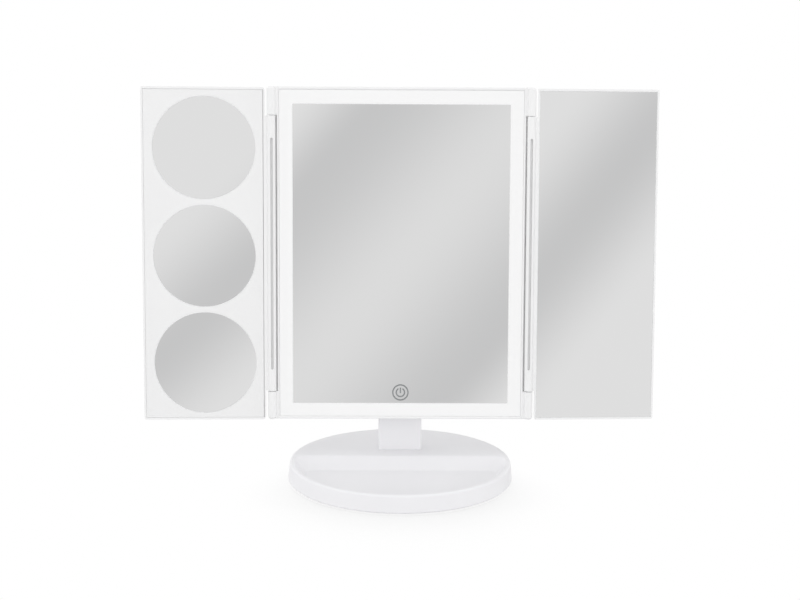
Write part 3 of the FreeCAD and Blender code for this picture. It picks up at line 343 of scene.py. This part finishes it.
def spans_of(node, axes):
    """How far a node reaches along each of three directions."""
    points = [vertex.co for vertex in NODES[node].data.vertices]
    return [(min(p.dot(way) for p in points), max(p.dot(way) for p in points)) for way in axes]


def point_at(axes, values):
    """The point with these values along three directions at right angles to each other."""
    return sum((way * value for way, value in zip(axes, values)), Vector())


def turned(shape, profile, origin, axis, side, slots, around):
    """Turn a profile of (radius, height) round an axis, into a bmesh; it closes at both ends."""
    other = axis.cross(side)
    turns = [math.tau * i / around for i in range(around)]
    loops = []
    for radius, height in profile:
        centre = origin + axis * height
        if radius == 0:
            loops.append([shape.verts.new(centre)] * around)
            continue
        loops.append([shape.verts.new(centre + (side * math.cos(t) + other * math.sin(t)) * radius)
                      for t in turns])
    for low, high, slot in zip(loops, loops[1:], slots):
        for i in range(around):
            j = (i + 1) % around
            corners = list(dict.fromkeys((low[i], low[j], high[j], high[i])))
            shape.faces.new(corners).material_index = slot


def finish_mesh(name, shape, materials):
    """Turn a bmesh into an object that shades smoothly across gentle edges."""
    bmesh.ops.recalc_face_normals(shape, faces=shape.faces)
    for face in shape.faces:
        face.smooth = True
    for edge in shape.edges:
        edge.smooth = len(edge.link_faces) == 2 and edge.calc_face_angle(0) < SMOOTH_TURN
    mesh = bpy.data.meshes.new(name)
    shape.to_mesh(mesh)
    shape.free()
    for material in materials:
        mesh.materials.append(material)
    made = bpy.data.objects.new(name, mesh)
    bpy.context.scene.collection.objects.link(made)
    return made


def dress(names, material):
    """Put one material on some CAD nodes."""
    for name in names:
        for slot in NODES[name].material_slots:
            slot.material = material


def stand_in(piece, node, body):
    """Let a piece take the place of a CAD node."""
    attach(piece, body)
    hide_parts(node)


# ---------------------------------------------------------------- finishes

def moulded(name, rgb, roughness, grain, polish=0.5):
    """Injection-moulded plastic: faint flow shading, uneven gloss and a fine grain."""
    material, tree, shader = new_material(name)
    flow = noise(tree, size=0.045, detail=3.0)
    tint(tree, shader, flow, rgb, low=0.992, high=1.006)
    patch = noise(tree, size=0.008)
    roughen(tree, shader, patch, low=roughness * 0.94, high=roughness * 1.1)
    bump(tree, shader, noise(tree, grain, detail=1.0), depth=0.004 * MM, strength=0.2)
    set_inputs(shader, IOR=1.46, Specular_IOR_Level=polish, Subsurface_Weight=0.06,
               Subsurface_Radius=(1.5 * MM, 1.5 * MM, 1.5 * MM))
    return material


def wing_shell_painted_shade(name):
    """The housing's plastic for a wing, with painted shade that darkens it deep in the groove of
    the wing's barrel.
    """
    settings = bpy.context.scene.vanity_housing
    material = moulded(name, settings.shell, settings.gloss, settings.grain)
    tree = material.node_tree
    base = tree.nodes["Principled BSDF"].inputs["Base Color"]
    # Painted shade: the colour darkens near the hinge's axis, standing in for the shadow inside the
    # groove.
    either_side = vector(tree, "ABSOLUTE", place(tree))
    offset = vector(tree, "SUBTRACT", either_side, HINGE_FOOT)
    radius = vector(tree, "LENGTH", vector(tree, "CROSS_PRODUCT", offset, UP), result="Value")
    shade = ranged(tree, radius, (GROOVE_SHADE_FULL, GROOVE_SHADE_END), (settings.groove, 1.0))
    groove_shaded_colour = add(tree, "VectorMath", {0: base.links[0].from_socket, "Scale": shade},
                 operation="SCALE")
    tree.links.new(groove_shaded_colour.outputs["Vector"], base)
    return material


def metal(name, rgb, roughness, streak=None):
    """Plain metal, brushed along an axis if one is named."""
    material, tree, shader = new_material(name)
    set_inputs(shader, Metallic=1.0)
    lines = noise(tree, size=0.25 * MM, stretch=STREAKS.get(streak))
    tint(tree, shader, lines, rgb, low=0.93, high=1.05)
    roughen(tree, shader, lines, low=roughness * 0.8, high=roughness * 1.25)
    return material


def matte(name, rgb, roughness, grain, depth):
    """Rubber, foam, lacquer and other dull surfaces."""
    material, tree, shader = new_material(name)
    speck = noise(tree, grain, detail=3.0)
    tint(tree, shader, speck, rgb, low=0.88, high=1.1)
    roughen(tree, shader, speck, low=roughness * 0.92, high=min(roughness * 1.08, 1))
    bump(tree, shader, speck, depth)
    return material


def silver(name, slant, sheen):
    """Silvered face of a mirror with a painted reflection: its colour changes in soft bands, given
    as colours at distances across a slant.
    """
    material, tree, shader = new_material(name)
    set_inputs(shader, Metallic=1.0)
    wipe = noise(tree, size=0.03)
    roughen(tree, shader, wipe, low=0.015, high=0.03)
    bump(tree, shader, wipe, depth=0.001 * MM, strength=0.1)
    # Painted reflection: the base colour follows the distance along a slanting direction across the
    # face.
    way = ACROSS * math.sin(slant) - UP * math.cos(slant)
    start = sheen[0][0]
    width = sheen[-1][0] - start
    first = way.dot(HEAD_FOOT) + start
    along = vector(tree, "DOT_PRODUCT", place(tree), way, result="Value")
    ramp = add(tree, "ValToRGB", {"Fac": ranged(tree, along, (first, first + width), (0.0, 1.0))})
    ramp.color_ramp.interpolation = "EASE"
    stops = ramp.color_ramp.elements
    stops[0].color, stops[1].color = rgba(sheen[0][1]), rgba(sheen[-1][1])
    for distance, rgb in sheen[1:-1]:
        stops.new((distance - start) / width).color = rgba(rgb)
    tree.links.new(ramp.outputs["Color"], shader.inputs["Base Color"])
    return material


def ground_edge(name):
    """Ground edge of a glass pane, almost colourless."""
    material, tree, shader = new_material(name)
    frost = noise(tree, size=0.0006)
    tint(tree, shader, frost, (0.85, 0.86, 0.857), low=0.96, high=1.04)
    set_inputs(shader, Roughness=0.42, IOR=1.52)
    return material


def opal(name):
    """Opal acrylic that spreads the light of the LEDs."""
    looks = bpy.context.scene.vanity_border
    material, tree, shader = new_material(name)
    haze = noise(tree, size=0.012)
    tint(tree, shader, haze, looks.opal, low=0.996, high=1.003)
    roughen(tree, shader, haze, low=0.42, high=0.5)
    set_inputs(shader, Subsurface_Weight=0.25, Subsurface_Radius=(3 * MM, 3 * MM, 3 * MM),
               Emission_Color=WHITE, Emission_Strength=looks.glow)
    return material


def made_once(name, make, **values):
    """The material of this name, made at its first use."""
    return bpy.data.materials.get(name) or make(name, **values)


def pad_foam():
    """Foam behind the mirrors."""
    return made_once("pad_foam", matte, rgb=(0.5, 0.5, 0.5), roughness=0.9, grain=0.0015,
                     depth=0.1 * MM)


def mirror_finishes(face, slant, sheen):
    """A mirror's three finishes: silvered face with painted reflection bands, ground edge and
    painted back.
    """
    return [silver(face, slant, sheen), made_once("ground_glass_edge", ground_edge),
            made_once("mirror_backing_paint", matte, rgb=(0.42, 0.43, 0.45), roughness=0.55,
                      grain=0.003, depth=0.02 * MM)]


# ---------------------------------------------------------------- stage

class VANITY_OT_camera(bpy.types.Operator):
    """Place the camera in front of the mirror"""
    bl_idname = "vanity.camera"
    bl_label = "Camera"

    def execute(self, context):
        data = bpy.data.cameras.new("camera")
        data.sensor_width = SENSOR
        data.lens = LENS
        data.clip_start = NEAREST
        data.clip_end = FURTHEST
        camera = bpy.data.objects.new("camera", data)
        context.scene.collection.objects.link(camera)
        turn = Matrix(CAMERA_AXES).transposed()
        camera.matrix_world = Matrix.Translation(CAMERA_PLACE) @ turn.to_4x4()
        context.scene.camera = camera
        return {"FINISHED"}


def seen_directly(tree):
    """1 for what is seen straight, in a mirror or through glass, and 0 for light on the object."""
    path = add(tree, "LightPath").outputs
    pair = number(tree, "MAXIMUM", path["Is Camera Ray"], path["Is Glossy Ray"])
    return number(tree, "MAXIMUM", pair, path["Is Transmission Ray"])


def mixed(tree, share, first, second):
    """Two shaders mixed: this share of the second one."""
    inputs = {0: share, 1: first.outputs[0], 2: second.outputs[0]}
    return add(tree, "MixShader", inputs)


def white_sky(strength):
    """Even light from all round, that looks plain white itself."""
    world = bpy.data.worlds.new("white_sky")
    world.use_nodes = True
    tree = world.node_tree
    tree.nodes.clear()
    light = add(tree, "Background", {"Color": WHITE, "Strength": strength})
    look = add(tree, "Background", {"Color": WHITE, "Strength": 1.0})
    sky = mixed(tree, seen_directly(tree), light, look)
    add(tree, "OutputWorld", {"Surface": sky.outputs[0]})
    return world


def shadow_level(tree, settings):
    """How brightly the floor shows near the stand: darker beside it, with some leak under it."""
    openness = add(tree, "AmbientOcclusion", {"Distance": settings.contact_reach}, samples=32)
    closeness = number(tree, "SUBTRACT", 1.0, openness.outputs["AO"])
    beside = number(tree, "MINIMUM", closeness, settings.contact_limit)
    shade = number(tree, "POWER", beside, CONTACT_POWER)
    level = number(tree, "MULTIPLY_ADD", shade, -settings.contact, FLOOR_LEVEL - settings.shadow)
    leak = ranged(tree, closeness, (LEAK_START, LEAK_FULL), (0.0, settings.contact_leak))
    return number(tree, "ADD", level, leak)


def floor_finish(settings):
    """White floor: it keeps the shadow close to the stand and is plain white further out."""
    material = bpy.data.materials.new("white_floor")
    material.use_nodes = True
    tree = material.node_tree
    tree.nodes.clear()
    plain = add(tree, "BsdfDiffuse", {"Color": rgba(settings.floor)})
    shaded = add(tree, "BsdfDiffuse", {"Color": rgba((settings.shadow,) * 3)})
    lift = add(tree, "Emission", {"Color": WHITE, "Strength": shadow_level(tree, settings)})
    near = add(tree, "AddShader", {0: shaded.outputs[0], 1: lift.outputs[0]})
    far = add(tree, "Emission", {"Color": WHITE, "Strength": 1.0})
    reach = vector(tree, "LENGTH", place(tree), result="Value")
    fade = ranged(tree, reach, (settings.shadow_in, settings.shadow_out), (0.0, 1.0),
                  interpolation_type="SMOOTHSTEP")
    look = mixed(tree, fade, near, far)
    both = mixed(tree, seen_directly(tree), plain, look)
    add(tree, "OutputMaterial", {"Surface": both.outputs[0]})
    return material


def soft_lamp(name, position, size, power):
    """A square soft lamp that isn't seen in the mirrors."""
    data = bpy.data.lights.new(name, "AREA")
    data.shape = "SQUARE"
    data.size = size
    data.energy = power
    lamp = bpy.data.objects.new(name, data)
    bpy.context.scene.collection.objects.link(lamp)
    lamp.location = position
    lamp.rotation_euler = (LAMP_AIM - position).to_track_quat("-Z", "Y").to_euler()
    lamp.visible_glossy = False
    lamp.visible_camera = False


class VANITY_OT_stage(bpy.types.Operator):
    """Set up the white floor, the sky and the lamps"""
    bl_idname = "vanity.stage"
    bl_label = "Stage"

    def execute(self, context):
        settings = context.scene.vanity_studio
        context.scene.world = white_sky(settings.sky)
        sheet = bmesh.new()
        bmesh.ops.create_grid(sheet, x_segments=FLOOR_SQUARES, y_segments=FLOOR_SQUARES,
                              size=FLOOR_REACH)
        floor = finish_mesh("floor", sheet, [floor_finish(settings)])
        floor.location.y = -settings.shadow_shift
        for name, (position, size, power) in LAMPS.items():
            soft_lamp(name, Vector(position), size, getattr(settings, power))
        context.scene.view_settings.view_transform = "Standard"
        return {"FINISHED"}


# ---------------------------------------------------------------- stand

class VANITY_OT_stand(bpy.types.Operator):
    """Finish the stand: shell, neck, cover, pads and weight"""
    bl_idname = "vanity.stand"
    bl_label = "Stand"

    def execute(self, context):
        looks = context.scene.vanity_stand
        grain = context.scene.vanity_housing.grain
        shell = moulded("stand_plastic", looks.deck, looks.gloss, grain, looks.polish)
        dress(["base_shell"], shell)
        # Painted light: the neck gets a lighter copy of the stand's plastic.
        dress(["neck"], moulded("neck_plastic", looks.neck, looks.gloss, grain))
        dress(["base_cover"], moulded("cover_plastic", looks.deck, roughness=0.5, grain=grain))
        rubber = matte("foot_rubber", (0.18, 0.18, 0.18), roughness=0.8, grain=0.001,
                       depth=0.05 * MM)
        dress(["base_feet"], rubber)
        dress(["base_weight"], metal("weight_steel", (0.42, 0.42, 0.43), roughness=0.45))
        steel = metal("screw_steel", (0.62, 0.62, 0.64), roughness=0.36)
        dress(["base_screws", "neck_screws"], steel)
        return {"FINISHED"}


# ---------------------------------------------------------------- head

class VANITY_OT_housing(bpy.types.Operator):
    """Finish the frame, the rear cover, the battery door and the screws"""
    bl_idname = "vanity.housing"
    bl_label = "Housing"

    def execute(self, context):
        looks = context.scene.vanity_housing
        shell = moulded("shell_plastic", looks.shell, looks.gloss, looks.grain)
        dress(["centre_frame", "rear_cover", "battery_door", "hinge_caps"], shell)
        dress(["rear_screws"], metal("rear_screw_steel", (0.66, 0.66, 0.68), roughness=0.36))
        return {"FINISHED"}


class VANITY_OT_light_border(bpy.types.Operator):
    """Finish the opal light border"""
    bl_idname = "vanity.light_border"
    bl_label = "Light border"

    def execute(self, context):
        dress(["light_border"], opal("opal_acrylic"))
        return {"FINISHED"}


class VANITY_OT_touch_symbol(bpy.types.Operator):
    """Print the touch symbol"""
    bl_idname = "vanity.touch_symbol"
    bl_label = "Touch symbol"

    def execute(self, context):
        ink = matte("touch_symbol_ink", context.scene.vanity_mark.ink, roughness=0.4,
                    grain=0.0006, depth=0.004 * MM)
        dress(["touch_symbol"], ink)
        return {"FINISHED"}


# ---------------------------------------------------------------- mirrors

def flat_pane(name, node, body, finishes, left=0.0, around=0.0):
    """A flat mirror in its node's place, grown by left on that side and by around on the others."""
    axes = axes_of(node)
    across, thick, high = spans_of(node, axes)
    spans = [(across[0] - left, across[1] + around), thick, (high[0] - around, high[1] + around)]
    pane = bmesh.new()
    bmesh.ops.create_cube(pane, size=1.0)
    for corner in pane.verts:
        corner.co = point_at(axes, [start + (value + 0.5) * (end - start)
                                    for value, (start, end) in zip(corner.co, spans)])
    bmesh.ops.bevel(pane, geom=pane.edges[:], offset=bpy.context.scene.vanity_mirrors.bevel,
                    segments=2, profile=0.6, affect="EDGES")
    pane.normal_update()
    for face in pane.faces:
        facing = face.normal.dot(axes[1])
        side = SILVER if facing < -SQUARE_ON else PAINT if facing > SQUARE_ON else GROUND
        face.material_index = side
    stand_in(finish_mesh(name, pane, finishes), node, body)


def concave_mirror(name, node, body, finishes, bowl):
    """A round magnifying mirror in its node's place, its face hollowed to this radius."""
    looks = bpy.context.scene.vanity_mirrors
    edge = looks.bevel
    axes = axes_of(node)
    spans = spans_of(node, axes)
    front, rear = spans[1]
    depth = rear - front
    radius = (spans[0][1] - spans[0][0]) / 2 + looks.snug
    centre = point_at(axes, [sum(spans[0]) / 2, front, sum(spans[2]) / 2])
    reach = radius - edge
    radii = [reach * i / BOWL_RINGS for i in range(BOWL_RINGS + 1)]
    hollow = [(r, (reach ** 2 - r ** 2) / (2 * bowl)) for r in radii]
    # Two steps make the front edge round, then come the side and the rear edge.
    rim = [(radius - edge * 0.3, edge * 0.2), (radius, edge), (radius, depth - edge),
           (radius - edge, depth)]
    slots = [SILVER] * BOWL_RINGS + [GROUND] * len(rim) + [PAINT]
    disc = bmesh.new()
    turned(disc, [*hollow, *rim, (0, depth)], centre, axes[1], axes[0], slots, MIRROR_TURN)
    stand_in(finish_mesh(name, disc, finishes), node, body)


def wing_painted_reflection(middle):
    """The painted reflection on a wing: one dark band, its middle at this distance from the head's
    foot.
    """
    looks = bpy.context.scene.vanity_mirrors
    reach = looks.wing_reach
    return [(middle - reach, looks.bright), (middle, looks.dark), (middle + reach, looks.bright)]


class VANITY_OT_centre_mirror(bpy.types.Operator):
    """Make the centre mirror's pane"""
    bl_idname = "vanity.centre_mirror"
    bl_label = "Centre mirror"

    def execute(self, context):
        looks = context.scene.vanity_mirrors
        reach, lower = looks.centre_reach, looks.centre_offset
        upper = lower - looks.centre_spacing
        # Painted reflection on the centre mirror: two dark bands with a middle tone between them.
        sheen = [(upper - reach, looks.bright), (upper, looks.dark),
                 ((upper + lower) / 2, looks.middle),
                 (lower, looks.dark), (lower + reach, looks.bright)]
        finishes = mirror_finishes("silver_face", looks.centre_slant, sheen)
        flat_pane("centre_mirror_pane", "centre_mirror", "head", finishes)
        return {"FINISHED"}


# ---------------------------------------------------------------- wings

class VANITY_OT_left_wing(bpy.types.Operator):
    """Finish the left wing and make its three round mirrors"""
    bl_idname = "vanity.left_wing"
    bl_label = "Left wing"

    def execute(self, context):
        housing = context.scene.vanity_housing
        # The wing frames' plastic carries painted shade in the barrel's groove.
        dress(["left_wing_frame"], made_once("wing_shell_plastic", wing_shell_painted_shade))
        panel = moulded("wing_panel_plastic", housing.face, housing.gloss, housing.grain)
        dress(["left_wing_panel"], panel)
        dress(["left_wing_pad"], pad_foam())
        looks = context.scene.vanity_mirrors
        sheen = wing_painted_reflection(-looks.left_offset)
        finishes = mirror_finishes("silver_left_face", looks.left_slant, sheen)
        for row in ("upper", "middle", "lower"):
            concave_mirror("magnifier_" + row, "round_mirror_" + row, "left_wing", finishes,
                           getattr(looks, "bowl_" + row))
        return {"FINISHED"}


class VANITY_OT_right_wing(bpy.types.Operator):
    """Finish the right wing and its mirror"""
    bl_idname = "vanity.right_wing"
    bl_label = "Right wing"

    def execute(self, context):
        dress(["right_wing_frame"], made_once("wing_shell_plastic", wing_shell_painted_shade))
        looks = context.scene.vanity_mirrors
        sheen = wing_painted_reflection(looks.right_offset)
        finishes = mirror_finishes("silver_right_face", looks.right_slant, sheen)
        flat_pane("right_mirror_pane", "right_mirror", "right_wing", finishes,
                  left=looks.snug_hinge, around=looks.snug)
        dress(["right_wing_pad"], pad_foam())
        return {"FINISHED"}


# ---------------------------------------------------------------- hinges and inside

class VANITY_OT_hinges(bpy.types.Operator):
    """Finish the pins, the tilt bolt, its nut and its washers"""
    bl_idname = "vanity.hinges"
    bl_label = "Hinges"

    def execute(self, context):
        steel = metal("hinge_steel", (0.6, 0.6, 0.62), roughness=0.36, streak="Z")
        dress(["left_hinge_pins", "right_hinge_pins", "tilt_bolt", "tilt_nut"], steel)
        nylon = matte("washer_nylon", (0.05, 0.05, 0.05), roughness=0.5, grain=0.001,
                      depth=0.01 * MM)
        dress(["friction_washers"], nylon)
        return {"FINISHED"}


def cell_layout():
    """The cells' radius and length, and for each its centre and which end is raised."""
    axes = (ACROSS, BACK, UP)
    (left, right), (front, rear), (low, high) = spans_of("aa_cells", axes)
    radius = (rear - front) / 2
    pitch = (right - left - 2 * radius) / (CELLS - 1)
    middle = (low + high) / 2
    cells = [(point_at(axes, [left + radius + pitch * i, front + radius, middle]), (-1) ** i)
             for i in range(CELLS)]
    return radius, high - low, cells


def cell_profile(radius, whole):
    """A cell's turned profile from its flat end, and the slots of its strips."""
    nub = 1.2 * MM
    can = whole - nub
    dent = 0.35 * MM
    corner = 0.5 * MM
    flat_end = [(0, 0.3 * MM), (radius * 0.82, 0.3 * MM), (radius * 0.86, 0)]
    jacket = [(radius * 0.95, 0), (radius, corner), (radius, can * 0.72)]
    cap = [(radius, can - corner), (radius * 0.95, can), (radius * 0.84, can)]
    raised_end = [(radius * 0.8, can - dent), (2.8 * MM, can - dent), (2.7 * MM, can),
                  (2.7 * MM, whole - 0.2 * MM), (2.5 * MM, whole), (0, whole)]
    slots = [CAN] * 2 + [JACKET] * 3 + [CAP] * 3 + [CAN] * len(raised_end)
    return flat_end + jacket + cap + raised_end, slots


class VANITY_OT_cells(bpy.types.Operator):
    """Make the four AA cells"""
    bl_idname = "vanity.cells"
    bl_label = "Cells"

    def execute(self, context):
        looks = context.scene.vanity_inside
        radius, whole, cells = cell_layout()
        profile, slots = cell_profile(radius, whole)
        shape = bmesh.new()
        for centre, way in cells:
            foot = centre - UP * way * whole / 2
            turned(shape, profile, foot, UP * way, ACROSS, slots, CELL_TURN)
        film = {"roughness": 0.36, "grain": 0.004, "depth": 0.003 * MM}
        finishes = [metal("cell_steel", (0.66, 0.66, 0.67), roughness=0.36),
                    matte("cell_jacket", looks.jacket, **film),
                    matte("cell_jacket_cap", looks.cap, **film)]
        stand_in(finish_mesh("cells", shape, finishes), "aa_cells", "head")
        return {"FINISHED"}


class VANITY_OT_inside(bpy.types.Operator):
    """Finish the light unit, the board and the contacts"""
    bl_idname = "vanity.inside"
    bl_label = "Inside"

    def execute(self, context):
        looks = context.scene.vanity_inside
        fine = 0.01 * MM
        reflector = moulded("reflector_plastic", (0.88, 0.88, 0.88), roughness=0.5, grain=0.0005)
        dress(["reflector"], reflector)
        dress(["mirror_foam"], pad_foam())
        strips = ["led_strip_left", "led_strip_right", "led_strip_top", "led_strip_bottom"]
        dress(strips, matte("strip_lacquer", (0.85, 0.85, 0.85), roughness=0.45, grain=0.002,
                            depth=fine))
        dress(["led_chips"], matte("led_phosphor", looks.phosphor, roughness=0.4,
                                   grain=0.0008, depth=fine))
        dress(["control_board"], matte("board_lacquer", looks.lacquer, roughness=0.35,
                                       grain=0.003, depth=fine))
        dress(["driver_chip", "power_coil", "socket_tongue"],
              matte("black_resin", (0.02, 0.02, 0.022), roughness=0.45, grain=0.0008,
                    depth=fine))
        dress(["power_socket"], metal("socket_steel", (0.6, 0.6, 0.6), roughness=0.36,
                                      streak="X"))
        nickel = metal("contact_nickel", (0.7, 0.69, 0.66), roughness=0.36)
        dress(["battery_contacts", "battery_springs", "touch_spring"], nickel)
        dress(["touch_pad"], metal("touch_copper", (0.8, 0.45, 0.3), roughness=0.36))
        dress(["battery_leads"], matte("lead_red", (0.5, 0.02, 0.02), roughness=0.4,
                                       grain=0.001, depth=fine))
        return {"FINISHED"}


# ---------------------------------------------------------------- panel and registration

STEPS = ("camera", "stage", "stand", "housing", "light_border", "centre_mirror", "touch_symbol",
         "left_wing", "right_wing", "hinges", "cells", "inside")


class VANITY_PT_sidebar(bpy.types.Panel):
    """Lists the pieces and their settings"""
    bl_idname = "VANITY_PT_sidebar"
    bl_label = "Vanity mirror"
    bl_space_type = "VIEW_3D"
    bl_region_type = "UI"
    bl_category = "Vanity mirror"

    def draw(self, context):
        layout = self.layout
        for step in STEPS:
            layout.operator("vanity." + step)
        for name, group in SETTINGS.items():
            box = layout.box()
            for prop in group.__annotations__:
                box.prop(getattr(context.scene, name), prop)


SETTINGS = {"vanity_studio": StudioSettings, "vanity_housing": HousingSettings,
            "vanity_stand": StandSettings, "vanity_mirrors": MirrorSettings,
            "vanity_border": BorderSettings, "vanity_mark": MarkSettings,
            "vanity_inside": InsideSettings}
CLASSES = (*SETTINGS.values(), VANITY_OT_camera, VANITY_OT_stage, VANITY_OT_stand,
           VANITY_OT_housing, VANITY_OT_light_border, VANITY_OT_centre_mirror,
           VANITY_OT_touch_symbol, VANITY_OT_left_wing, VANITY_OT_right_wing,
           VANITY_OT_hinges, VANITY_OT_cells, VANITY_OT_inside, VANITY_PT_sidebar)


def register():
    for cls in CLASSES:
        bpy.utils.register_class(cls)
    for name, group in SETTINGS.items():
        setattr(bpy.types.Scene, name, PointerProperty(type=group))


def unregister():
    for name in SETTINGS:
        delattr(bpy.types.Scene, name)
    for cls in reversed(CLASSES):
        bpy.utils.unregister_class(cls)


def main():
    """Make everything in order."""
    register()
    for step in STEPS:
        getattr(bpy.ops.vanity, step)()


if __name__ == "__main__":
    main()
